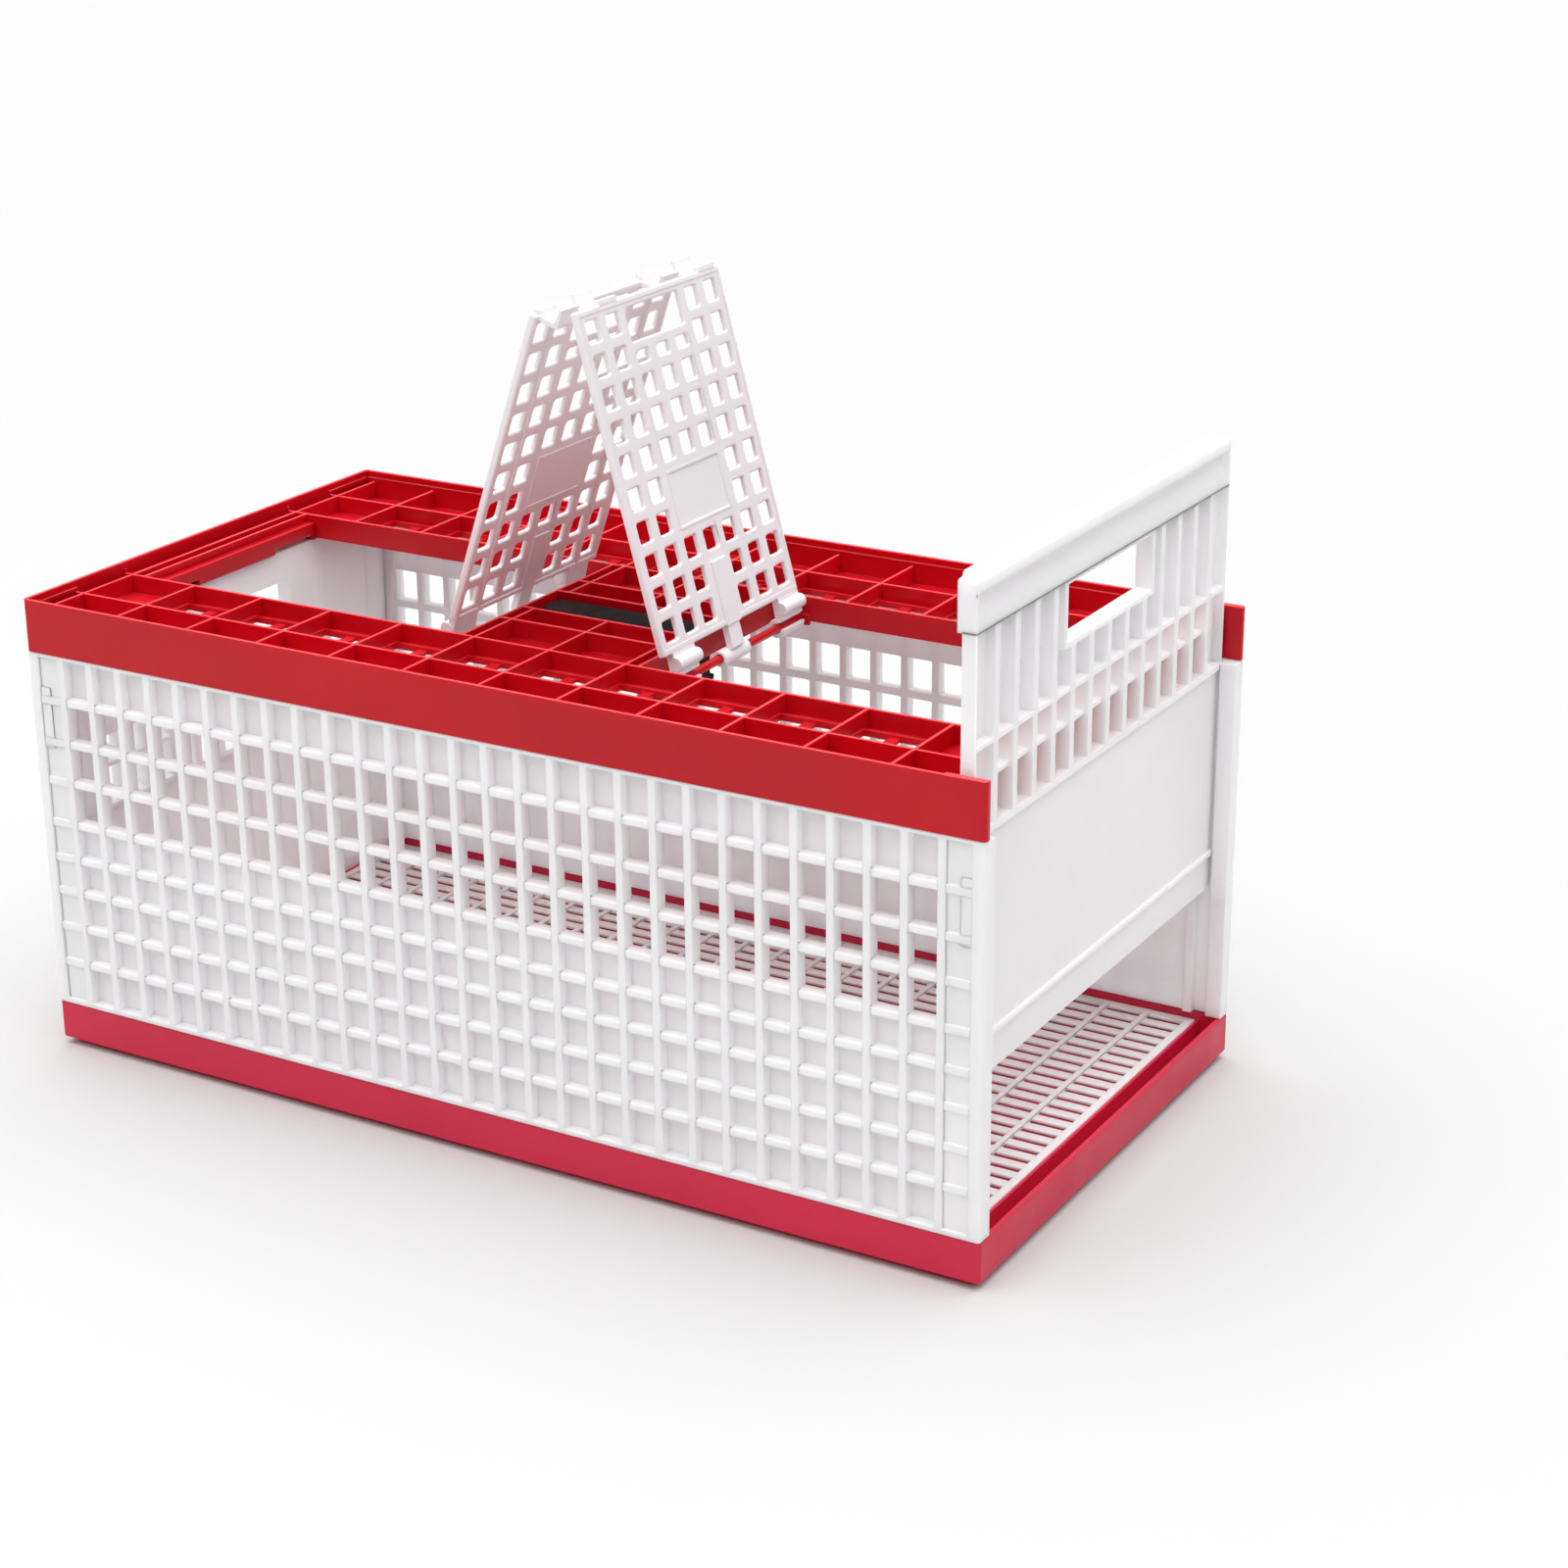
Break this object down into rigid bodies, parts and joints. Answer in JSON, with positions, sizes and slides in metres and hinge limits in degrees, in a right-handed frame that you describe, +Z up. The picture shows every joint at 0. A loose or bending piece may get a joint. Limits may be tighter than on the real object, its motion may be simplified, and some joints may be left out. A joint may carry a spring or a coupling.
{
  "type": "pigeon transport crate",
  "caption": "Plastic carrying crate for pigeons with lattice walls, hinged top lids, a slide-up end gate, a slatted floor grate and a lifting carry handle.",
  "frame": {"origin": "middle of the base's underside, at floor level", "axes": "+X along the crate's length towards the end with the sliding gate, +Y across its width towards the back wall, +Z up"},
  "size_m": [0.75, 0.395, 0.5662],
  "materials": {
    "frame_red": "satin",
    "base_crimson": "satin",
    "wall_white": "satin",
    "handle_black": "satin"
  },
  "bodies": {
    "crate": {"base_tray": "base_crimson", "floor_grate": "wall_white", "front_wall": "wall_white", "back_wall": "wall_white", "left_end_wall": "wall_white", "top_frame": "frame_red", "left_hinge_rod": "frame_red", "right_hinge_rod": "frame_red"},
    "gate": {"sliding_gate": "wall_white"},
    "right_lid_body": {"right_lid": "wall_white"},
    "left_lid_body": {"left_lid": "wall_white"},
    "handle": {"carry_handle": "handle_black"}
  },
  "joints": [
    {"name": "right_lid_hinge", "type": "hinge", "parent": "crate", "child": "right_lid_body", "pos_m": [0.082, 0, 0.316], "axis": [0, 1, 0], "range_deg": [0, 105.6]},
    {"name": "left_lid_hinge", "type": "hinge", "parent": "crate", "child": "left_lid_body", "pos_m": [-0.09, 0, 0.316], "axis": [0, 1, 0], "range_deg": [-109, 0]},
    {"name": "gate_slide", "type": "slide", "parent": "crate", "child": "gate", "axis": [0, 0, 1], "range_m": [-0.1235, 0.16]},
    {"name": "handle_lift", "type": "slide", "parent": "crate", "child": "handle", "axis": [0, 0, 1], "range_m": [0, 0.0215]}
  ]
}
